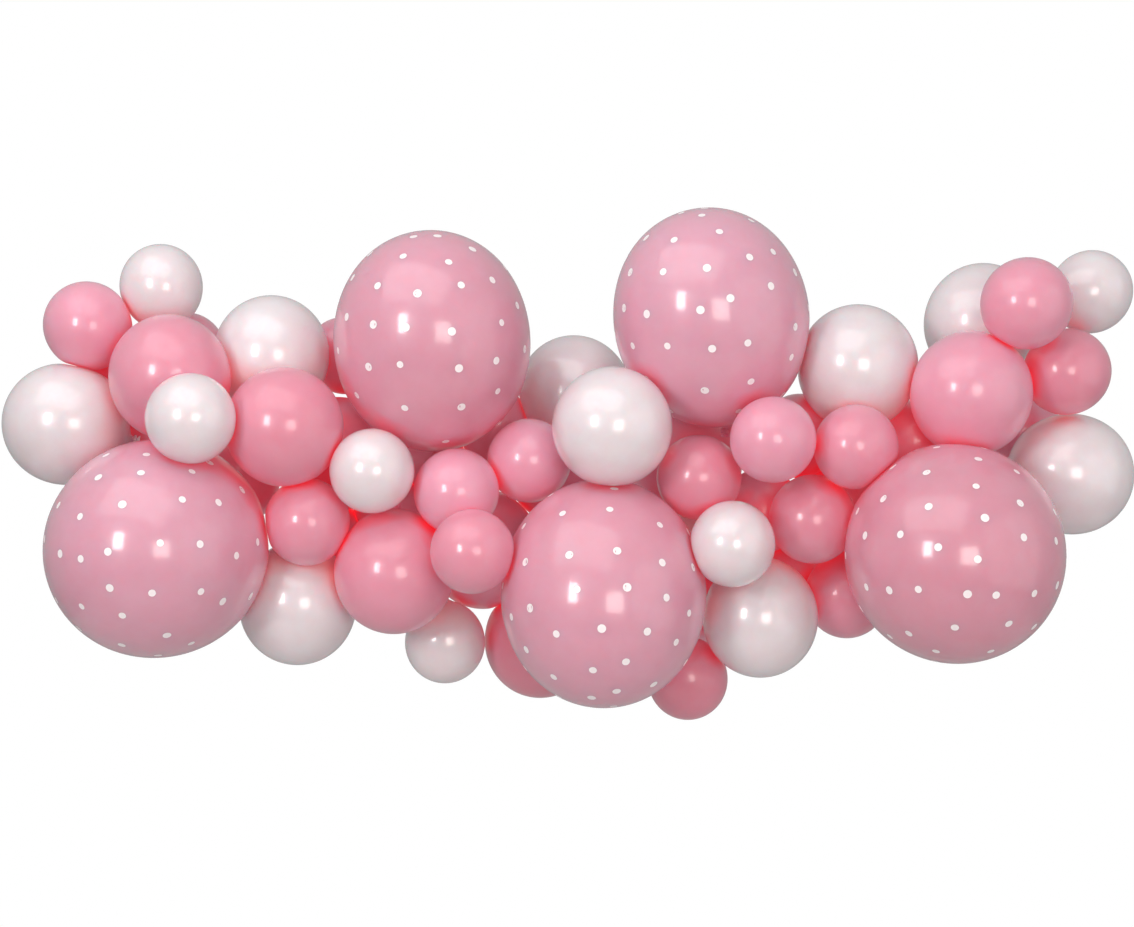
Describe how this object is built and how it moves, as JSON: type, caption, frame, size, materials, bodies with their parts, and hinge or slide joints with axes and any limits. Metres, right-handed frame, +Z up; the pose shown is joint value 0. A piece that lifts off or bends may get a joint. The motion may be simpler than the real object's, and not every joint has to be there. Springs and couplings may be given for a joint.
{
  "type": "balloon garland",
  "caption": "Wall-hung garland of packed latex balloons, small, medium and large, in plain pink, pearl white and mauve pink with white dots, necks turned to an inner core line.",
  "frame": {"origin": "on the wall plane, in the middle of the flat spot where the rearmost pearl balloon of the top middle presses on the wall", "axes": "+Z up; +Y into the wall, so the front of the garland faces -Y; +X to the right as seen from the front, along the garland's length"},
  "size_m": [1.6503, 0.4789, 0.7436],
  "materials": {
    "dotted_latex": "glossy mauve-pink latex with small printed white dots",
    "pearl_latex": "pearly white latex, glossy",
    "pink_latex": "glossy plain pink latex"
  },
  "bodies": {
    "root": {"dotted_large_1": "dotted_latex", "dotted_large_2": "dotted_latex", "dotted_large_3": "dotted_latex", "dotted_large_4": "dotted_latex", "dotted_large_5": "dotted_latex", "pearl_medium_1": "pearl_latex", "pearl_medium_2": "pearl_latex", "pearl_medium_3": "pearl_latex", "pearl_medium_4": "pearl_latex", "pearl_medium_5": "pearl_latex", "pearl_medium_6": "pearl_latex", "pearl_medium_7": "pearl_latex", "pearl_medium_8": "pearl_latex", "pearl_medium_9": "pearl_latex", "pearl_small_1": "pearl_latex", "pearl_small_2": "pearl_latex", "pearl_small_3": "pearl_latex", "pearl_small_4": "pearl_latex", "pearl_small_5": "pearl_latex", "pearl_small_6": "pearl_latex", "pearl_small_7": "pearl_latex", "pink_medium_1": "pink_latex", "pink_medium_2": "pink_latex", "pink_medium_3": "pink_latex", "pink_medium_4": "pink_latex", "pink_medium_5": "pink_latex", "pink_medium_6": "pink_latex", "pink_medium_7": "pink_latex", "pink_medium_8": "pink_latex", "pink_medium_9": "pink_latex", "pink_small_1": "pink_latex", "pink_small_2": "pink_latex", "pink_small_3": "pink_latex", "pink_small_4": "pink_latex", "pink_small_5": "pink_latex", "pink_small_6": "pink_latex", "pink_small_7": "pink_latex", "pink_small_8": "pink_latex", "pink_small_9": "pink_latex", "pink_small_10": "pink_latex", "pink_small_11": "pink_latex", "pink_small_12": "pink_latex", "pink_small_13": "pink_latex", "pink_small_14": "pink_latex", "pink_small_15": "pink_latex", "pink_small_16": "pink_latex", "pink_small_17": "pink_latex", "pink_small_18": "pink_latex", "pink_small_19": "pink_latex", "pink_small_20": "pink_latex", "pink_small_21": "pink_latex", "pink_small_22": "pink_latex", "pink_small_23": "pink_latex", "pink_small_24": "pink_latex", "pink_small_25": "pink_latex", "pink_small_26": "pink_latex", "pink_small_27": "pink_latex", "pink_small_28": "pink_latex", "pink_small_29": "pink_latex"}
  },
  "joints": []
}
